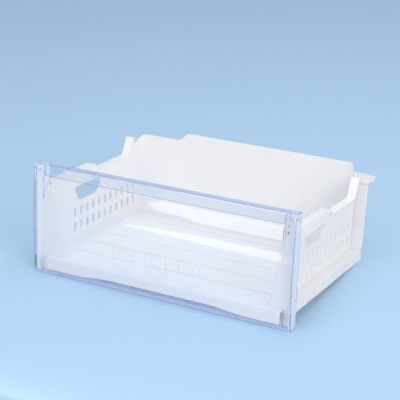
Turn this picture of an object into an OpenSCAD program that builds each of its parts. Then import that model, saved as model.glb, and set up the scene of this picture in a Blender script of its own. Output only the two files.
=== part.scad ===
// Freezer drawer: an open-fronted white tub closed by a clear clip-fitted front with a grip recess.
// X is the width, Y runs from the front to the rear, Z is up.
// The origin is at the middle of the footprint, level with the lower edge of the front.
// All of it is drawn from the middle of the front face, and in_place moves it to the origin.

/* [Overall] */
// Depth from the front face to the rear edge of the tub's top
drawer_d = 309; // [260:1:420]

/* [Front panel] */
// Width of the clear front
panel_w = 460; // [400:1:560]
// Height of the clear front
panel_h = 186; // [170:1:230]
// Depth of the hollow columns at the ends of the front
panel_d = 22; // [18:0.5:30]
// Wall of the clear front
panel_wall = 2.4; // [1.8:0.1:3.2]
// How far the middle of the front face stands forward of its top and bottom edges
panel_bow = 5; // [1:0.5:8]
// Radius of the long outer edges at the foot and the top
panel_edge_r = 5; // [3:0.5:7]
// Width of each hollow end column
column_w = 20; // [16:0.5:28]
// Depth of the channel along the foot
foot_d = 17; // [14:0.5:20]
// Number of openings in the channel along the foot
foot_slots = 9; // [3:1:13]
// Length of each opening in the foot channel
foot_slot_l = 9; // [5:0.5:14]

/* [Grip recess] */
// Height at which the window starts to lean back
recess_z = 124; // [110:1:135]
// Height at which the window is upright again
recess_top_z = 172; // [160:1:178]
// Height of the lip that hangs from the ledge
lip_h = 18; // [12:0.5:24]

/* [Panel snaps] */
// Diameter of the peg holes near the top of each column
peg_hole = 4; // [3:0.1:5]
// Distance of the peg holes from the top edge
peg_drop = 10; // [7:0.5:16]
// Height of the latch window in each end wall
latch_h = 22; // [12:1:30]
// Depth of the latch window, front to rear
latch_l = 7; // [5:0.5:9]
// Height of the latch window's middle above the lower edge
latch_z = 59; // [45:1:80]

/* [Tub] */
// Height of the tub's underside above the lower edge of the front
tub_lift = 24; // [20:1:30]
// Wall of the tub
tub_wall = 2.2; // [1.8:0.1:3]
// Gap between the tub and the clear front
fit_gap = 0.4; // [0.2:0.05:0.8]
// How far the rails stand in from the ends of the front
rail_set = 4; // [3:0.5:8]
// How far the side walls stand in from the rails, at the foot
side_inset = 18.5; // [15:0.5:20]
// How much each side wall leans out from the foot to the top of the rear wall
side_lean = 2.7; // [0.5:0.1:3.5]
// How much the rear wall leans back from foot to top
rear_lean = 13; // [8:0.5:18]
// Height of the side rim above the underside
rim_h = 117; // [104:1:122]
// Width of the rim's flange
rim_flange = 12.5; // [8:0.5:14]
// Reach of the front flange inside the side wall, at the foot
flange_foot = 20; // [10:0.5:24]
// Reach of the front flange inside the side wall, at its top
flange_top = 8; // [4:0.5:10]
// Depth of the apron below the floor's front edge, at its ends
apron_h = 18; // [10:0.5:19]
// How much the apron's lower edge arches up in the middle
apron_arch = 5; // [0:0.5:9]
// Outer radius of the rear corners at the top
corner_r = 24; // [14:1:26]
// Outer radius of the rear corners at the foot
corner_foot_r = 9; // [5:1:12]
// Distance from the rear edge to the foot of the rim's steep rise
rise_back = 51; // [48:1:64]
// Length of the rim's steep rise
rise_l = 14; // [10:1:16]
// Length of the tab at the top of the rise
tab_l = 4; // [3:0.5:6]
// Depth of the dip between the tab and the rear corner
dip_h = 10; // [4:0.5:12]
// Height of the rear shoulders above the underside
shoulder_h = 147; // [140:1:150]
// Height of the raised part of the rear wall above the underside
rear_h = 161; // [154:1:170]
// Left end of the raised part of the rear wall, from the middle
raised_left = 124; // [60:1:180]
// Right end of the raised part of the rear wall, from the middle
raised_right = 194; // [60:1:200]

/* [Side grip] */
// How far the grip stands above the rim
grip_rise = 12; // [6:0.5:14]
// Distance from the front face to the rear end of the level grip
grip_end = 146; // [120:1:165]
// Length of the ramp from the grip down to the rim
grip_ramp = 22; // [16:1:32]
// Height of the grip's outer skirt
grip_skirt = 19; // [12:0.5:22]
// Distance from the front face to the front of the hand hole
hole_y = 86; // [70:1:92]
// Length of the hand hole
hole_l = 82; // [60:1:90]
// Height of the hand hole
hole_h = 25.5; // [20:0.5:26]
// Distance from the rim down to the top of the hand hole
hole_drop = 14; // [11:0.5:15]

/* [Side slots] */
// Slots in each row
slot_count = 11; // [4:1:11]
// Rows of slots
slot_rows = 2; // [1:1:2]
// Width of each slot
slot_w = 6.5; // [3:0.5:7]
// Height of each slot
slot_h = 16.5; // [10:0.5:17]
// Distance between the rows
slot_row_pitch = 25; // [20:0.5:25]
// Distance from the front face to the first slot
slot_y = 87.4; // [50:0.2:90]
// Distance from the last slot to the end of the flat side wall
slot_end = 9.4; // [5:0.2:12]
// Height of the lowest row above the underside
slot_z = 34; // [26:1:34]

/* [Rails] */
// Height of the rails
rail_h = 16; // [12:0.5:18]
// Pockets along the outside of each rail
rail_pockets = 6; // [3:1:6]
// Length of each pocket in a rail
rail_pocket_l = 24; // [12:1:26]
// Depth of each pocket in a rail
rail_pocket_d = 1; // [0.6:0.1:1.2]

/* [Rear lug] */
// How far the lug stands out from the right rear corner
lug_out = 11; // [6:0.5:14]
// Thickness of the lug
lug_t = 4; // [3:0.5:5]
// Height of the lug
lug_h = 15; // [10:1:18]

/* [Floor] */
// Ribs across the floor
rib_count = 5; // [2:1:6]
// Distance between the ribs
rib_pitch = 49; // [36:1:50]
// Height of each rib
rib_h = 0.8; // [0.5:0.1:1.5]
// Width of each rib
rib_w = 1.8; // [1.2:0.1:3]

/* [Hidden] */
// Steps in a smooth curve
curve_steps = 12;
// Steps in a rounded corner
corner_steps = 6;
// Overshoot of a cutting shape past a face
over = 1;
// Radius where two walls of the clear front meet
bend_r = 4;
// Radius where the window meets the ledge over the recess
ledge_r = 1;
// How far the hand hole's rear edge leans forward at its top
hole_slant = 6;
// Half the length of the ramp at the left end of the rear wall's raised part
raised_ramp = 12;
// Width of the short step at its right end
raised_step = 4;
// How far the lug's tip lies below the shoulder
lug_drop = 2;
// Distance from the rear edge to the lug
lug_set = 2.5;

panel_half = panel_w / 2;
tub_w = panel_w - 2 * rail_set;
window_half = panel_half - column_w;
ledge_under = panel_h - panel_wall;
// Front skin of the window where it is upright again, above the recess
window_y = panel_d - panel_wall;
tub_half = tub_w / 2;
side_foot = tub_half - side_inset;
side_top = side_foot + side_lean * rim_h / rear_h;
rim_half = side_top + rim_flange;
// Top of the floor, on which its front part steps up over the foot channel
floor_top = tub_lift + tub_wall;
rim_z = tub_lift + rim_h;
grip_z = rim_z + grip_rise;
shoulder_z = tub_lift + shoulder_h;
rear_z = tub_lift + rear_h;
// Where the flat side walls end and the rear corners begin
corner_y = drawer_d - max(corner_r, rear_lean + corner_foot_r) - tub_wall;
// The steep rise of the rim and the tab at its top
rise_y = drawer_d - rise_back;
tab_y = rise_y + rise_l;
tab_end = tab_y + tab_l;
slot_pitch = (corner_y - slot_end - slot_y) / (slot_count - 1);
// Front posts, inside the columns
post_out = panel_half - panel_wall - fit_gap;
post_front = panel_bow + panel_wall + fit_gap;
post_top = ledge_under - fit_gap;
post_y = panel_d - tub_wall;
post_foot = panel_wall + fit_gap;
// Top of the flange that the posts reach in behind the window
flange_z = recess_z + 10;
// Inner edge of the posts beside the cheeks of the grip recess
cheek_in = window_half + panel_wall + fit_gap;
hole_top = rim_z - hole_drop;
hole_foot = hole_top - hole_h;
rail_top = tub_lift + rail_h;
rail_front = panel_d + fit_gap;
// Front face of the rear flange at its foot
flange_y = drawer_d - rear_lean - tub_wall;
// The lug makes the drawer wider on the right
off_centre = max(0, (tub_half + lug_out - panel_half) / 2);

// Y of the bowed front face at a height
function face_y(z) = panel_bow * pow((z - panel_h / 2) / (panel_h / 2), 2);

// A point along a smooth curve with four guide points
function bezier(a, b, c, d, t) =
    pow(1 - t, 3) * a + 3 * t * pow(1 - t, 2) * b + 3 * t * t * (1 - t) * c + pow(t, 3) * d;

// A rounded corner at p between the directions of a and b
function corner(a, p, b, r) =
    let (
        u = (a - p) / norm(a - p),
        v = (b - p) / norm(b - p)
    )
    [for (i = [0:corner_steps])
        let (t = i / corner_steps)
        pow(1 - t, 2) * (p + u * r) + 2 * t * (1 - t) * p + t * t * (p + v * r)];

// The list without its last point, for joining lists that share a point
function but_last(list) = [for (i = [0:len(list) - 2]) list[i]];

// An outline with every corner rounded
function rounded(pts, r) =
    let (n = len(pts))
    [for (i = [0:n - 1]) each corner(pts[(i + n - 1) % n], pts[i], pts[(i + 1) % n], r)];

// Unit normal on the right of the way a path runs at point i
function right_of(path, i) =
    let (
        a = path[max(i - 1, 0)],
        b = path[min(i + 1, len(path) - 1)],
        d = (b - a) / norm(b - a)
    )
    [d.y, -d.x];

// The closed outline of a wall of thickness t on the right of a path
function wall_outline(path, t) = concat(
    path,
    [for (i = [len(path) - 1:-1:0]) path[i] + t * right_of(path, i)]
);

// S-shaped ramp between two points, level at both ends
function ramp(a, b) =
    [for (i = [0:curve_steps])
        let (t = i / curve_steps)
        [a.x + (b.x - a.x) * t, a.y + (b.y - a.y) * (1 - cos(180 * t)) / 2]];

// A shape drawn in Y and Z, given a width along X
module along_x(x0, x1) {
    translate([x0, 0, 0])
        rotate([90, 0, 90])
            linear_extrude(x1 - x0)
                children();
}

// A shape drawn in X and Z, given a length along Y
module along_y(y0, y1) {
    translate([0, y1, 0])
        rotate([90, 0, 0])
            linear_extrude(y1 - y0)
                children();
}

// The children and their mirror image across the middle
module both_sides() {
    for (side = [0, 1])
        mirror([side, 0, 0])
            children();
}

// Moves what is drawn from the middle of the front face to the origin
module in_place() {
    translate([-off_centre, -drawer_d / 2, 0])
        children();
}

// Points of the bowed front face between two heights, going up
function face_points(z0, z1) =
    [for (i = [0:curve_steps])
        let (z = z0 + (z1 - z0) * i / curve_steps)
        [face_y(z), z]];

// Outer skin of the foot channel, from its rear edge forward to the face
foot_path = concat(
    [[foot_d, tub_lift - fit_gap]],
    corner([foot_d, tub_lift], [foot_d, 0], [panel_bow, 0], bend_r),
    corner([foot_d, 0], [face_y(0), 0], [face_y(0), panel_h], panel_edge_r)
);

// Front skin of the leaning part of the window, going up
lean_path = let (
    a = [face_y(recess_z), recess_z],
    d = [window_y, recess_top_z],
    reach = (recess_top_z - recess_z) * 0.4
)
[for (i = [0:curve_steps])
    bezier(a, a + [0, reach], d - [2, reach * 0.7], d, i / curve_steps)];

// Underside of the ledge and rear face of the lip, from the window forward and down
lip_y = face_y(panel_h) + panel_wall;
ledge_path = concat(
    corner([window_y, recess_z], [window_y, ledge_under], [0, ledge_under], ledge_r),
    corner([panel_d, ledge_under], [lip_y, ledge_under], [lip_y, 0], panel_edge_r - panel_wall),
    [[lip_y, panel_h - lip_h]]
);

// The wall of the front between the columns, as one folded strip
module window_section() {
    polygon(wall_outline(concat(
        foot_path,
        but_last(face_points(panel_edge_r + bend_r, recess_z)),
        lean_path,
        ledge_path
    ), panel_wall));
}

// Side view of an end column, from the face to its open rear
module column_outline(inset) {
    back = panel_d + (inset > 0 ? over : 0);
    front = face_y(0) + inset;
    edge = panel_edge_r + bend_r;
    r = panel_edge_r - inset;
    polygon(concat(
        [[back, inset]],
        corner([back, inset], [front, inset], [front, panel_h], r),
        [for (p = but_last(face_points(edge, panel_h - edge))) p + [inset, 0]],
        corner([front, 0], [front, panel_h - inset], [back, panel_h - inset], r),
        [[back, panel_h - inset]]
    ));
}

// The cheek that closes the side of the grip recess
module cheek_outline() {
    polygon(concat(
        face_points(recess_z, panel_h - panel_edge_r),
        [[lip_y, ledge_under], [panel_d, ledge_under], [panel_d, recess_top_z]],
        [for (i = [curve_steps:-1:0]) lean_path[i] + [panel_wall / 2, 0]]
    ));
}

module column() {
    difference() {
        along_x(window_half, panel_half)
            column_outline(0);
        along_x(window_half - over, panel_half - panel_wall)
            column_outline(panel_wall);
    }
    along_x(window_half, window_half + panel_wall)
        cheek_outline();
}

// Openings in the web of the foot channel, where its hooks are moulded
module foot_openings() {
    span = 2 * (window_half - column_w);
    for (i = [0:foot_slots - 1])
        translate([
            -span / 2 + span * i / (foot_slots - 1) - foot_slot_l / 2,
            foot_d - panel_wall - over,
            bend_r + panel_wall
        ])
            cube([foot_slot_l, panel_wall + 2 * over, panel_wall]);
}

// Peg holes near the top of a column, in its face and its end wall
module peg_holes() {
    translate([window_half + column_w / 2, -over, panel_h - peg_drop])
        rotate([-90, 0, 0])
            cylinder(d = peg_hole, h = panel_bow + panel_wall + over, $fn = 24);
    translate([panel_half - panel_wall - over, panel_d * 0.6, panel_h - peg_drop])
        rotate([0, 90, 0])
            cylinder(d = peg_hole, h = panel_wall + 2 * over, $fn = 24);
}

module latch_window() {
    translate([panel_half - panel_wall - over, post_y - latch_l - fit_gap, latch_z - latch_h / 2])
        cube([panel_wall + 2 * over, latch_l, latch_h]);
}

module front_panel() {
    color([0.72, 0.78, 0.97, 0.45])
        in_place()
            difference() {
                union() {
                    along_x(-window_half - panel_wall, window_half + panel_wall)
                        window_section();
                    both_sides()
                        column();
                }
                foot_openings();
                both_sides()
                    peg_holes();
                both_sides()
                    latch_window();
            }
}

// Upper edge of the rim from the post to the end of the tab, seen from the side
rim_path = concat(
    [[panel_d, grip_z]],
    ramp([grip_end, grip_z], [grip_end + grip_ramp, rim_z]),
    [[rise_y, rim_z]],
    corner([rise_y, rim_z], [tab_y, shoulder_z], [tab_end, shoulder_z], tab_l * 0.7),
    [[tab_end, shoulder_z]]
);

// Upper edge of the whole side wall: behind the tab it dips and then climbs to the rear corner
side_path = concat(
    rim_path,
    [[tab_end, shoulder_z - dip_h]],
    ramp([corner_y + tub_wall, shoulder_z - dip_h], [drawer_d - 2 * tub_wall, shoulder_z]),
    [[drawer_d, shoulder_z]]
);

// Flat side wall with its lean, seen from the front
module side_section() {
    polygon([
        [side_foot - tub_wall, tub_lift],
        [side_foot, tub_lift],
        [side_foot + side_lean, rear_z],
        [side_foot + side_lean - tub_wall, rear_z]
    ]);
}

// Everything under the side wall's upper edge, seen from the side
module under_rim() {
    polygon(concat([[0, 0], [0, grip_z]], side_path, [[drawer_d, 0]]));
}

module side_wall() {
    intersection() {
        along_y(post_y, corner_y + tub_wall)
            side_section();
        along_x(0, tub_half)
            under_rim();
    }
}

// Flange along the rim, from the post over the grip to the end of the tab
module rim() {
    along_x(side_top - tub_wall, rim_half)
        polygon(wall_outline(rim_path, tub_wall));
}

// Outer skirt of the grip, which hides the top of the hand hole
module grip() {
    skirt_z = grip_z - grip_skirt;
    top = [for (p = rim_path) if (p.x <= grip_end + grip_ramp / 3) p - [0, tub_wall / 2]];
    end = top[len(top) - 1].x;
    along_x(rim_half - tub_wall, rim_half)
        polygon(concat(
            [[panel_d, skirt_z]],
            top,
            corner(top[len(top) - 1], [end, skirt_z], [panel_d, skirt_z], grip_skirt / 4)
        ));
}

// The hand hole: a leaning front edge and a cut lower rear corner
module hand_hole() {
    shape = [
        [hole_y, hole_top],
        [hole_y + hole_h * 0.47, hole_foot],
        [hole_y + hole_l * 0.8, hole_foot],
        [hole_y + hole_l, hole_foot + hole_h * 0.6],
        [hole_y + hole_l - hole_slant, hole_top]
    ];
    along_x(side_foot - tub_wall - over, tub_half)
        polygon(rounded(shape, hole_h * 0.2));
}

// Upright slot with round ends
module slot() {
    straight = slot_h - slot_w;
    along_x(side_foot - tub_wall - over, tub_half) {
        translate([-slot_w / 2, -straight / 2])
            square([slot_w, straight]);
        for (end = [-1, 1])
            translate([0, end * straight / 2])
                circle(d = slot_w, $fn = 24);
    }
}

module slots() {
    for (row = [0:slot_rows - 1])
        for (i = [0:slot_count - 1])
            translate([0, slot_y + i * slot_pitch, tub_lift + slot_z + row * slot_row_pitch])
                slot();
}

// Runner along the foot of a side wall: a ledge with a skirt, open below
module rail() {
    along_y(rail_front, flange_y + tub_wall / 2)
        polygon([
            [side_foot - tub_wall, rail_top - tub_wall],
            [tub_half - tub_wall, rail_top - tub_wall],
            [tub_half - tub_wall, tub_lift],
            [tub_half, tub_lift],
            [tub_half, rail_top],
            [side_foot - tub_wall, rail_top]
        ]);
}

// Shallow pockets along the outside of a rail
module pockets() {
    pitch = (flange_y - rail_front) / rail_pockets;
    for (i = [0:rail_pockets - 1])
        translate([
            tub_half - rail_pocket_d,
            rail_front + (i + 0.5) * pitch - rail_pocket_l / 2,
            tub_lift + tub_wall
        ])
            cube([rail_pocket_d + over, rail_pocket_l, rail_h - 2 * tub_wall]);
}

// Post that fills an end column of the clear front, with a flange that reaches in behind the window
module post() {
    along_x(post_out - tub_wall, post_out)
        polygon([
            [post_front + bend_r, post_foot],
            [panel_d, post_foot],
            [panel_d, post_top],
            [post_front + panel_edge_r, post_top],
            [post_front, post_top - panel_edge_r],
            [post_front, post_foot + bend_r]
        ]);
    along_y(post_y, panel_d)
        polygon([
            [side_foot - tub_wall - flange_foot, post_foot],
            [post_out, post_foot],
            [post_out, post_top],
            [cheek_in, post_top],
            [cheek_in, flange_z + 2 * flange_top],
            [side_foot - flange_top, flange_z]
        ]);
}

// Latch nub on a post, seated in the window of the end wall
module latch_nub() {
    translate([post_out - tub_wall, post_y - latch_l, latch_z - latch_h / 2 + fit_gap])
        cube([tub_wall + fit_gap + panel_wall / 2, latch_l - 2 * fit_gap, latch_h - 2 * fit_gap]);
}

// Plan of the rear of the tub at one height, drawn in by a wall
module rear_plan(half, back, r, inset) {
    side = half - inset;
    end = back - inset;
    polygon(concat(
        [[-side, corner_y]],
        corner([-side, corner_y], [-side, end], [0, end], r - inset),
        corner([0, end], [side, end], [side, corner_y], r - inset),
        [[side, corner_y]]
    ));
}

// The rear of the tub as a solid block, from the foot to the top of the rear wall
module rear_block(inset) {
    hull() {
        translate([0, 0, tub_lift + inset])
            linear_extrude(0.01)
                rear_plan(side_foot, drawer_d - rear_lean, corner_foot_r, inset);
        translate([0, 0, rear_z + inset])
            linear_extrude(0.01)
                rear_plan(side_foot + side_lean, drawer_d, corner_r, inset);
    }
}

// Top edge of the rear wall, seen from the front: raised off centre between two shoulders
module under_rear_edge() {
    polygon(concat(
        [[-panel_half, 0], [-panel_half, shoulder_z]],
        ramp([-raised_left - raised_ramp, shoulder_z], [-raised_left + raised_ramp, rear_z]),
        [[raised_right, rear_z], [raised_right + raised_step / 2, rear_z - raised_step / 2]],
        [[raised_right + raised_step, shoulder_z], [panel_half, shoulder_z], [panel_half, 0]]
    ));
}

// The rear corners and wall; only the rear wall reaches above the shoulders
module rear_shell() {
    raised_front = drawer_d - 3 * tub_wall;
    inner_half = side_foot - tub_wall;
    intersection() {
        difference() {
            rear_block(0);
            rear_block(tub_wall);
            translate([-inner_half, corner_y - over, floor_top])
                cube([2 * inner_half, 2 * over, rear_h]);
        }
        along_y(0, drawer_d)
            under_rear_edge();
        union() {
            along_x(-tub_half, tub_half)
                under_rim();
            translate([-tub_half, raised_front, 0])
                cube([tub_w, drawer_d - raised_front, rear_z + over]);
        }
    }
}

// Flange that carries the rear wall out to the width of the rails, with a nick above each rail
module rear_flange() {
    top = shoulder_z - dip_h;
    lean = rear_lean * (top - tub_lift) / rear_h;
    difference() {
        along_x(side_foot - corner_r, tub_half)
            polygon([
                [flange_y, tub_lift],
                [flange_y + tub_wall, tub_lift],
                [flange_y + tub_wall + lean, top],
                [flange_y + lean, top]
            ]);
        translate([tub_half - tub_wall, flange_y - over, rail_top])
            cube([tub_wall + over, rear_lean, 1.5 * tub_wall]);
    }
}

// Stop lug at the top of the right rear corner
module lug() {
    tip = shoulder_z - lug_drop;
    shape = [
        [side_foot - tub_wall, tip - lug_h],
        [tub_half - tub_wall, tip - lug_h],
        [tub_half + lug_out, tip - lug_h * 0.4],
        [tub_half + lug_out, tip],
        [side_foot - tub_wall, shoulder_z]
    ];
    along_y(drawer_d - lug_set - lug_t, drawer_d - lug_set)
        polygon(rounded(shape, lug_h * 0.17));
}

// Apron below the floor's front edge, inside the foot channel
module apron() {
    half = window_half - fit_gap;
    foot = floor_top - apron_h;
    along_y(post_front, post_front + tub_wall)
        polygon(concat(
            [[-half, floor_top + tub_wall], [-half, foot]],
            ramp([-half * 0.75, foot], [-half * 0.4, foot + apron_arch]),
            ramp([half * 0.4, foot + apron_arch], [half * 0.75, foot]),
            [[half, foot], [half, floor_top + tub_wall]]
        ));
}

// Floor that steps up over the foot channel, with low ribs across it
module tub_floor() {
    translate([-side_foot, panel_d, tub_lift])
        cube([2 * side_foot, corner_y - panel_d + tub_wall, tub_wall]);
    translate([-side_foot, panel_d, tub_lift])
        cube([2 * side_foot, tub_wall, 2 * tub_wall]);
    translate([-window_half + fit_gap, post_front, floor_top])
        cube([2 * (window_half - fit_gap), panel_d - post_front + tub_wall, tub_wall]);
    for (i = [1:rib_count])
        translate([-side_foot + tub_wall + rib_pitch / 4, post_y + i * rib_pitch, floor_top])
            cube([2 * (side_foot - tub_wall) - rib_pitch / 2, rib_w, rib_h]);
}

module tub() {
    color([0.95, 0.96, 0.98])
        in_place()
            difference() {
                union() {
                    tub_floor();
                    apron();
                    rear_shell();
                    lug();
                    both_sides() {
                        side_wall();
                        rim();
                        grip();
                        rail();
                        rear_flange();
                        post();
                        latch_nub();
                    }
                }
                both_sides() {
                    hand_hole();
                    slots();
                    pockets();
                }
            }
}

tub();
front_panel();
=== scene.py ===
import math

import bpy
from mathutils import Matrix, Vector


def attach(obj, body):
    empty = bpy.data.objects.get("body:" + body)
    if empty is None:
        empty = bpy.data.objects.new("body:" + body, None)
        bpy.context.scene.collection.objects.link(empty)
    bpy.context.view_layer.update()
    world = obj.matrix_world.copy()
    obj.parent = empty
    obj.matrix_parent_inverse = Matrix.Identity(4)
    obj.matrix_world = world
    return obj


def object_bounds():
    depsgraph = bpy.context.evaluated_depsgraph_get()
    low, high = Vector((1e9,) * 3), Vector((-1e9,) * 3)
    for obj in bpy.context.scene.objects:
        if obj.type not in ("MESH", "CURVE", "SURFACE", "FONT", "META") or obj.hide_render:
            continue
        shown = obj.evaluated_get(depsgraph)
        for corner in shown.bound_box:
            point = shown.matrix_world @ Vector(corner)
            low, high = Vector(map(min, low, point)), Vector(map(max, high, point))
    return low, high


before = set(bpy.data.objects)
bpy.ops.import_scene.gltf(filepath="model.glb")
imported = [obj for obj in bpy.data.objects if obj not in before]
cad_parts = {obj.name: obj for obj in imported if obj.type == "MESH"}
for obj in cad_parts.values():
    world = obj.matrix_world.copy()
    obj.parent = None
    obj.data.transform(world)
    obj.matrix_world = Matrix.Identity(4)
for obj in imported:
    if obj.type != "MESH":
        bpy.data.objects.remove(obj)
cad_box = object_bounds()

MM = 0.001

# The front, as in the part's source: its middle, height, rise of its bow, wall and half of its window
FRONT_X = -3.5 * MM
FRONT_H = 186 * MM
FRONT_BOW = 5 * MM
FRONT_WALL = 2.4 * MM
WINDOW_HALF = 210 * MM

# Height of the painted pale blue light at the foot of the front, and how strong that painted pale blue is at
# its foot and ledge
PAINTED_FOOT_HEIGHT = 9 * MM
LONG_EDGE_PAINTED_BLUE = 0.5

# Radius of the edges of the tub and of the front, and how far the painted blue reflection reaches in from the
# front's edges
TUB_EDGE = 0.9 * MM
FRONT_EDGE = 0.6 * MM
PAINTED_EDGE_REACH = 1.2 * MM

# Bounces after which light goes straight through the clear front
MOST_TURNS = 3

# Darker and paler tone of the tub and of the ink
TUB_TONES = ((0.82, 0.83, 0.85, 1), (0.86, 0.865, 0.88, 1))
INK_TONES = ((0.66, 0.70, 0.80, 1), (0.80, 0.83, 0.90, 1))

# The clear plastic by itself, its painted pale blue light at foot and ledge, its painted blue reflection at
# its edges, in depth and for light that only passes
CLEAR = (0.985, 0.99, 1.0, 1)
CLEAR_PAINTED_PALE_BLUE = (0.72, 0.77, 1.0, 1)
CLEAR_PAINTED_BLUE_EDGE = (0.08, 0.20, 0.82, 1)
CLEAR_DEPTH = (0.40, 0.62, 1.0, 1)
CLEAR_PASSING = (0.98, 0.985, 1.0, 1)

# The stage as it lights the drawer and as it is seen, and the light around it
STAGE_BOUNCE = (0.80, 0.82, 0.85, 1)
STAGE_SEEN = (0.43, 0.63, 0.84, 1)
SURROUND = (0.98, 0.985, 1.0, 1)
SURROUND_STRENGTH = 0.66

# Part of the surround's light that comes up through the stage
STAGE_PASSES = 0.45

# Lamps: name, place, the point each one faces, size in metres, power in watts and shape.
# The last two show as the bright bands in the grip recess and below it.
LAMPS = (
    ("top_light", (0.1, 0.0, 2.0), (0, 0, 0.1), (1.8, 1.4), 11.5, "RECTANGLE"),
    ("right_light", (2.4, -1.3, 1.4), (0, 0, 0.1), (1.7, 1.5), 27, "RECTANGLE"),
    ("front_light", (0.7, -2.5, 0.9), (0, -0.1, 0.08), (1.2, 1.0), 3, "RECTANGLE"),
    ("left_light", (-0.58, -1.70, 1.57), (-0.15, -0.1, 0.15), (1.08, 1.14), 5.2, "ELLIPSE"),
    ("low_light", (0.04, -0.50, -0.004), (0.04, -0.15, 0.08), (0.62, 0.024), 0.06, "ELLIPSE"),
)

# The print on the window, in millimetres: the middles of its three frames, half their size and their
# corners, the bar under each and the width of the lines
PRINT_X = (-61.0, -2.0, 57.0)
PRINT_Z = 58.0
PRINT_HALF = 18.2
PRINT_CORNER = 3.5
BAR_DROP = 23.0
BAR_HALF_W = 5.5
BAR_HALF_H = 1.6
BAR_CORNER = 1.5
FRAME_LINE = 0.7
SHAPE_LINE = 0.6

# How far the print lies behind the rear face of the window
PRINT_GAP = 0.1 * MM

# Ovals in each frame: X and Z from its middle, half width, half height, lean in radians and how much
# the upper end is drawn to a point
PRINT_SHAPES = (
    ((-8, -7.5, 4.0, 7.5, math.pi, 0.8), (7, -8, 6.5, 5.5, 0, 0), (-1, 8.5, 6.0, 12.0, math.pi / 2, 0.6)),
    ((-5, -8, 7.5, 5.5, -0.3, 0), (9, -8, 4.5, 6.0, 0.4, 0), (0, 7.5, 10.0, 6.5, 0.2, 0)),
    ((-7, -8, 5.5, 7.0, 0, 0), (7, -8, 5.0, 7.5, 0.3, 0.5), (0, 8, 7.5, 7.5, 0, 0)),
)

# Straight pieces in each rounded corner and in each oval
CORNER_STEPS = 6
OVAL_STEPS = 28

# The drawer is drawn level, and the stage is tilted to meet the front's lower edge and the tub's rear edge
LEAN = math.radians(4.92)
STAND_Y = cad_box[0].y + 2 * MM

# The stage, in metres: half its width, its front end, where its floor bends up, the bend's radius and
# straight pieces, and its top
STAGE_HALF_W = 14.0
STAGE_FRONT = -14.0
BEND_START = 2.2
BEND_RADIUS = 1.2
BEND_STEPS = 16
STAGE_TOP = 7.0

# Camera, from the perspective of the photograph
CAMERA_PLACE = Vector((0.8922, -1.7309, 0.7621))
CAMERA_PITCH = math.radians(18.10)
CAMERA_YAW = math.radians(-27.56)
CAMERA_ROLL = math.radians(2.14)
CAMERA_LENS = 112.9
CAMERA_SENSOR = 36


def set_input(tree, socket, value):
    """Gives an input a value, or links another node's output to it."""
    if isinstance(value, bpy.types.NodeSocket):
        tree.links.new(value, socket)
    else:
        socket.default_value = value


def node_of(tree, kind, **settings):
    """A new shader node with its attributes and inputs set by name, where a space stands as an underscore."""
    node = tree.nodes.new(kind)
    for name, value in settings.items():
        if hasattr(node, name):
            setattr(node, name, value)
        else:
            set_input(tree, node.inputs[name.replace("_", " ")], value)
    return node


def math_of(tree, operation, *values):
    """The result of one operation on values or other nodes' outputs."""
    node = node_of(tree, "ShaderNodeMath", operation=operation)
    for socket, value in zip(node.inputs, values):
        set_input(tree, socket, value)
    return node.outputs["Value"]


def blend_of(tree, factor, first, second):
    """The first shader where the factor is 0 and the second where it is 1."""
    blend = node_of(tree, "ShaderNodeMixShader")
    for socket, source in zip(blend.inputs, (factor, first, second)):
        tree.links.new(source, socket)
    return blend.outputs["Shader"]


def remap(tree, value, **limits):
    """A value carried from one range to another, 0 to 1 where no limit is given."""
    return node_of(tree, "ShaderNodeMapRange", Value=value, **limits).outputs["Result"]


def ramp(tree, value, *stops):
    """Colours between stops, each a place from 0 to 1 and a colour."""
    node = node_of(tree, "ShaderNodeValToRGB", Fac=value)
    elements = node.color_ramp.elements
    elements[0].position, elements[0].color = stops[0]
    elements[1].position, elements[1].color = stops[-1]
    for place, colour in stops[1:-1]:
        elements.new(place).color = colour
    return node.outputs["Color"]


def object_place(tree):
    """A point's place on its object, in metres."""
    return node_of(tree, "ShaderNodeTexCoord").outputs["Object"]


def object_axis(tree, axis):
    """A point's place along one axis of its object, in metres."""
    return node_of(tree, "ShaderNodeSeparateXYZ", Vector=object_place(tree)).outputs[axis]


def noise(tree, **settings):
    """Noise fixed to the object, its scale per metre."""
    return node_of(tree, "ShaderNodeTexNoise", Vector=object_place(tree), **settings).outputs["Fac"]


def edge_normals(tree, radius):
    """Normals that round the solid's sharp edges by a moulding's small radius."""
    return node_of(tree, "ShaderNodeBevel", samples=6, Radius=radius).outputs["Normal"]


def new_material(name):
    """An empty material, its node tree and its output node."""
    material = bpy.data.materials.new(name)
    material.use_nodes = True
    tree = material.node_tree
    tree.nodes.clear()
    return material, tree, tree.nodes.new("ShaderNodeOutputMaterial")


def white_plastic():
    """Satin white polystyrene: slow change of tone, fine mould texture, rounded edges."""
    material, tree, output = new_material("tub_white_plastic")
    tone = noise(tree, Scale=9.0, Detail=2.0, Roughness=0.4)
    grain = noise(tree, Scale=900.0, Detail=2.0)
    normals = edge_normals(tree, TUB_EDGE)
    bump = node_of(tree, "ShaderNodeBump", Height=grain, Normal=normals, Strength=0.06, Distance=0.0002)
    plastic = node_of(
        tree, "ShaderNodeBsdfPrincipled", IOR=1.5,
        Base_Color=ramp(tree, tone, (0.3, TUB_TONES[0]), (0.7, TUB_TONES[1])),
        Roughness=remap(tree, tone, To_Min=0.26, To_Max=0.36),
        Subsurface_Weight=0.12, Subsurface_Scale=0.004, Subsurface_Radius=(1.0, 1.0, 1.0),
        Normal=bump.outputs["Normal"],
    )
    tree.links.new(plastic.outputs["BSDF"], output.inputs["Surface"])
    return material


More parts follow.
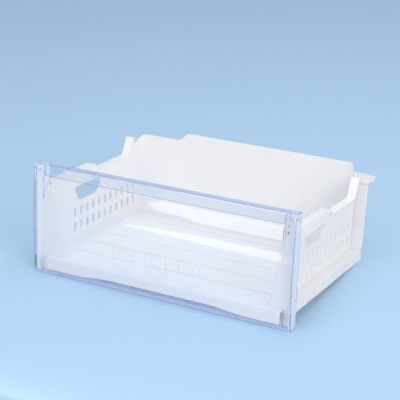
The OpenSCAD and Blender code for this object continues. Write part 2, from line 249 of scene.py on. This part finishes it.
def edge_mask(tree, radius):
    """How near a point lies to a sharp edge of its solid, from 0 to 1."""
    turn = node_of(tree, "ShaderNodeVectorMath", operation="DOT_PRODUCT")
    tree.links.new(edge_normals(tree, radius), turn.inputs[0])
    tree.links.new(node_of(tree, "ShaderNodeNewGeometry").outputs["Normal"], turn.inputs[1])
    return remap(tree, turn.outputs["Value"], From_Min=0.99, From_Max=0.80)


def long_edge_mask(tree, most):
    """Rises from 0 to most at the foot and at the ledge along the top of the front."""
    height = object_axis(tree, "Z")
    foot = remap(tree, height, From_Min=PAINTED_FOOT_HEIGHT, From_Max=PAINTED_FOOT_HEIGHT / 2, To_Max=most)
    ledge = remap(tree, height, From_Min=FRONT_H - FRONT_WALL, From_Max=FRONT_H, To_Max=most)
    return math_of(tree, "MAXIMUM", foot, ledge)


def window_mask(tree):
    """1 between the columns of the front and 0 on them."""
    return math_of(tree, "COMPARE", object_axis(tree, "X"), FRONT_X, WINDOW_HALF)


def passing_light(tree):
    """1 for light that goes straight through the clear front and 0 for the rest.

    This is light on its way to or from the tub, as a clear moulding casts next to no shadow,
    and light that has been turned often between the walls.
    """
    path = node_of(tree, "ShaderNodeLightPath").outputs
    passing = math_of(tree, "MAXIMUM", path["Is Shadow Ray"], path["Is Diffuse Ray"])
    turned = math_of(tree, "GREATER_THAN", path["Ray Depth"], MOST_TURNS)
    return math_of(tree, "MAXIMUM", passing, turned)


def clear_plastic():
    """Clear polystyrene with a faint blue in depth, a painted blue reflection at its edges and painted pale
    blue light at its foot and ledge.

    The gloss that shows the lamps ends at the columns, as the bright bands do.
    """
    material, tree, output = new_material("clear_plastic")
    haze = noise(tree, Scale=14.0, Detail=3.0)
    normals = edge_normals(tree, FRONT_EDGE)
    ripple = node_of(tree, "ShaderNodeBump", Height=haze, Normal=normals, Strength=0.05, Distance=0.0006)
    # Painted reflection and painted light: saturated blue at the edges and pale blue at the foot and ledge,
    # put into the base colour with less transmission
    painted_blue = math_of(tree, "MAXIMUM", edge_mask(tree, PAINTED_EDGE_REACH), long_edge_mask(tree, LONG_EDGE_PAINTED_BLUE))
    plastic = node_of(
        tree, "ShaderNodeBsdfPrincipled", IOR=1.35,
        Base_Color=ramp(tree, painted_blue, (0.0, CLEAR), (0.5, CLEAR_PAINTED_PALE_BLUE), (1.0, CLEAR_PAINTED_BLUE_EDGE)),
        Roughness=remap(tree, haze, To_Min=0.015, To_Max=0.05),
        Transmission_Weight=remap(tree, painted_blue, To_Min=1.0, To_Max=0.4),
        Coat_Weight=window_mask(tree), Coat_Roughness=0.05, Coat_IOR=1.75,
        Normal=ripple.outputs["Normal"],
    ).outputs["BSDF"]
    through = node_of(tree, "ShaderNodeBsdfTransparent", Color=CLEAR_PASSING).outputs["BSDF"]
    tint = node_of(tree, "ShaderNodeVolumeAbsorption", Color=CLEAR_DEPTH, Density=16.0)
    tree.links.new(blend_of(tree, passing_light(tree), plastic, through), output.inputs["Surface"])
    tree.links.new(tint.outputs["Volume"], output.inputs["Volume"])
    return material


def print_ink():
    """Pale screen print, a little uneven."""
    material, tree, output = new_material("white_print")
    patches = noise(tree, Scale=220.0, Detail=2.0)
    colour = ramp(tree, patches, (0.0, INK_TONES[0]), (1.0, INK_TONES[1]))
    ink = node_of(tree, "ShaderNodeBsdfPrincipled", Base_Color=colour, Roughness=0.55)
    tree.links.new(ink.outputs["BSDF"], output.inputs["Surface"])
    return material


def stage_colour(tree, path):
    """The stage's blue for the camera, for reflections and through the clear front, else its bounce."""
    seen = math_of(tree, "MAXIMUM", path["Is Camera Ray"], path["Is Glossy Ray"])
    shown = math_of(tree, "MAXIMUM", seen, path["Is Transmission Ray"])
    mix = node_of(tree, "ShaderNodeMix", data_type="RGBA", Factor=shown)
    unseen_in, seen_in = [socket for socket in mix.inputs if socket.type == "RGBA"]
    unseen_in.default_value = STAGE_BOUNCE
    seen_in.default_value = STAGE_SEEN
    return [socket for socket in mix.outputs if socket.type == "RGBA"][0]


def stage_material():
    """Pale blue card.

    From below and behind it is seen through, and some of the surround's light comes up through it,
    so that views of the underside show the drawer.
    """
    material, tree, output = new_material("stage_card")
    path = node_of(tree, "ShaderNodeLightPath").outputs
    card = node_of(tree, "ShaderNodeBsdfPrincipled", Base_Color=stage_colour(tree, path), Roughness=0.6)
    behind = node_of(tree, "ShaderNodeNewGeometry").outputs["Backfacing"]
    upward = math_of(tree, "MULTIPLY", path["Is Diffuse Ray"], STAGE_PASSES)
    open_part = math_of(tree, "MAXIMUM", behind, upward)
    nothing = node_of(tree, "ShaderNodeBsdfTransparent").outputs["BSDF"]
    surface = blend_of(tree, open_part, card.outputs["BSDF"], nothing)
    tree.links.new(surface, output.inputs["Surface"])
    return material


def dress(node, material):
    """Gives a CAD node its material."""
    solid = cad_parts[node]
    solid.data.materials.clear()
    solid.data.materials.append(material)


def inner_face_y(z):
    """Y of the window's rear face at a height, a hair behind it."""
    middle = FRONT_H / 2
    bow = FRONT_BOW * ((z - middle) / middle) ** 2
    return cad_box[0].y + bow + FRONT_WALL + PRINT_GAP


def line_points(outline, width):
    """A closed line of a given width round an outline, as points and faces on the window's rear face."""
    count = len(outline)
    points = []
    for i, (x, z) in enumerate(outline):
        before, after = Vector(outline[i - 1]), Vector(outline[(i + 1) % count])
        along = (after - before).normalized()
        for side in (-width / 2, width / 2):
            px, pz = x - along.y * side, z + along.x * side
            points.append((px, inner_face_y(pz), pz))
    ends = 2 * count
    faces = [(2 * i, 2 * i + 1, (2 * i + 3) % ends, (2 * i + 2) % ends) for i in range(count)]
    return points, faces


def frame_outline(x, z, half_w, half_h, radius):
    """A rounded rectangle round a centre, in millimetres."""
    outline = []
    for cx, cz, start in ((1, 1, 0), (-1, 1, 90), (-1, -1, 180), (1, -1, 270)):
        for step in range(CORNER_STEPS + 1):
            a = math.radians(start + 90 * step / CORNER_STEPS)
            px = x + cx * (half_w - radius) + radius * math.cos(a)
            pz = z + cz * (half_h - radius) + radius * math.sin(a)
            outline.append((FRONT_X + px * MM, pz * MM))
    return outline


def oval_outline(x, z, half_w, half_h, lean, point):
    """An oval round a centre, in millimetres, leaning by an angle and drawn to a point at its upper end."""
    outline = []
    for step in range(OVAL_STEPS):
        a = math.tau * step / OVAL_STEPS
        squeeze = 1 - point * max(0.0, math.sin(a))
        ox, oz = half_w * math.cos(a) * squeeze, half_h * math.sin(a)
        px = x + ox * math.cos(lean) - oz * math.sin(lean)
        pz = z + ox * math.sin(lean) + oz * math.cos(lean)
        outline.append((FRONT_X + px * MM, pz * MM))
    return outline


def print_lines():
    """The outline and width of every printed line: each frame, the bar under it and the shapes in it."""
    lines = []
    for x, shapes in zip(PRINT_X, PRINT_SHAPES):
        lines.append((frame_outline(x, PRINT_Z, PRINT_HALF, PRINT_HALF, PRINT_CORNER), FRAME_LINE))
        bar = frame_outline(x, PRINT_Z - BAR_DROP, BAR_HALF_W, BAR_HALF_H, BAR_CORNER)
        lines.append((bar, SHAPE_LINE))
        for right, up, half_w, half_h, lean, point in shapes:
            oval = oval_outline(x + right, PRINT_Z + up, half_w, half_h, lean, point)
            lines.append((oval, SHAPE_LINE))
    return lines


def make_print():
    """Three framed groups of plain food shapes with a bar under each, printed on the window."""
    points, faces = [], []
    for outline, width in print_lines():
        new_points, new_faces = line_points(outline, width * MM)
        faces += [tuple(len(points) + i for i in face) for face in new_faces]
        points += new_points
    mesh = bpy.data.meshes.new("front_print")
    mesh.from_pydata(points, [], faces)
    mesh.materials.append(print_ink())
    marks = bpy.data.objects.new("front_print", mesh)
    bpy.context.scene.collection.objects.link(marks)
    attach(marks, "root")


def make_stage():
    """A floor that sweeps up into a backdrop, tilted so that the drawer stands on it as in the photograph."""
    profile = [(STAGE_FRONT, 0.0), (BEND_START, 0.0)]
    for i in range(1, BEND_STEPS + 1):
        a = math.pi / 2 * i / BEND_STEPS
        profile.append((BEND_START + BEND_RADIUS * math.sin(a), BEND_RADIUS * (1 - math.cos(a))))
    profile.append((BEND_START + BEND_RADIUS, STAGE_TOP))
    points = [(side * STAGE_HALF_W, y, z) for y, z in profile for side in (-1, 1)]
    faces = [(2 * i, 2 * i + 1, 2 * i + 3, 2 * i + 2) for i in range(len(profile) - 1)]
    mesh = bpy.data.meshes.new("stage")
    mesh.from_pydata(points, [], faces)
    for face in mesh.polygons:
        face.use_smooth = True
    mesh.materials.append(stage_material())
    stage = bpy.data.objects.new("stage", mesh)
    bpy.context.scene.collection.objects.link(stage)
    stage.matrix_world = Matrix.Translation((0, STAND_Y, 0)) @ Matrix.Rotation(LEAN, 4, "X")


def make_camera():
    """The photograph's camera: its place, direction, roll and focal length."""
    ahead = Vector((
        math.sin(CAMERA_YAW) * math.cos(CAMERA_PITCH),
        math.cos(CAMERA_YAW) * math.cos(CAMERA_PITCH),
        -math.sin(CAMERA_PITCH),
    ))
    level = Vector((math.cos(CAMERA_YAW), -math.sin(CAMERA_YAW), 0))
    upright = level.cross(ahead)
    right = math.cos(CAMERA_ROLL) * level + math.sin(CAMERA_ROLL) * upright
    up = right.cross(ahead)
    data = bpy.data.cameras.new("camera")
    data.sensor_width = CAMERA_SENSOR
    data.lens = CAMERA_LENS
    data.clip_start, data.clip_end = 0.05, 50
    camera = bpy.data.objects.new("camera", data)
    turn = Matrix((right, up, -ahead)).transposed().to_4x4()
    camera.matrix_world = Matrix.Translation(CAMERA_PLACE) @ turn
    bpy.context.scene.collection.objects.link(camera)
    bpy.context.scene.camera = camera


def softbox(name, place, target, size, power, shape):
    """An area lamp that faces the target and shows only in reflections."""
    data = bpy.data.lights.new(name, "AREA")
    data.shape = shape
    data.size, data.size_y = size
    data.energy = power
    lamp = bpy.data.objects.new(name, data)
    lamp.location = place
    lamp.rotation_mode = "QUATERNION"
    lamp.rotation_quaternion = (Vector(target) - Vector(place)).to_track_quat("-Z", "Y")
    lamp.visible_camera = False
    lamp.visible_transmission = False
    bpy.context.scene.collection.objects.link(lamp)


def make_light():
    """Soft studio light: an even pale surround and the lamps."""
    world = bpy.data.worlds.new("studio")
    bpy.context.scene.world = world
    world.use_nodes = True
    surround = world.node_tree.nodes["Background"]
    surround.inputs["Color"].default_value = SURROUND
    surround.inputs["Strength"].default_value = SURROUND_STRENGTH
    for lamp in LAMPS:
        softbox(*lamp)


make_camera()
make_light()
make_stage()
dress("tub", white_plastic())
dress("front_panel", clear_plastic())
make_print()

bpy.context.scene.view_settings.view_transform = "Standard"
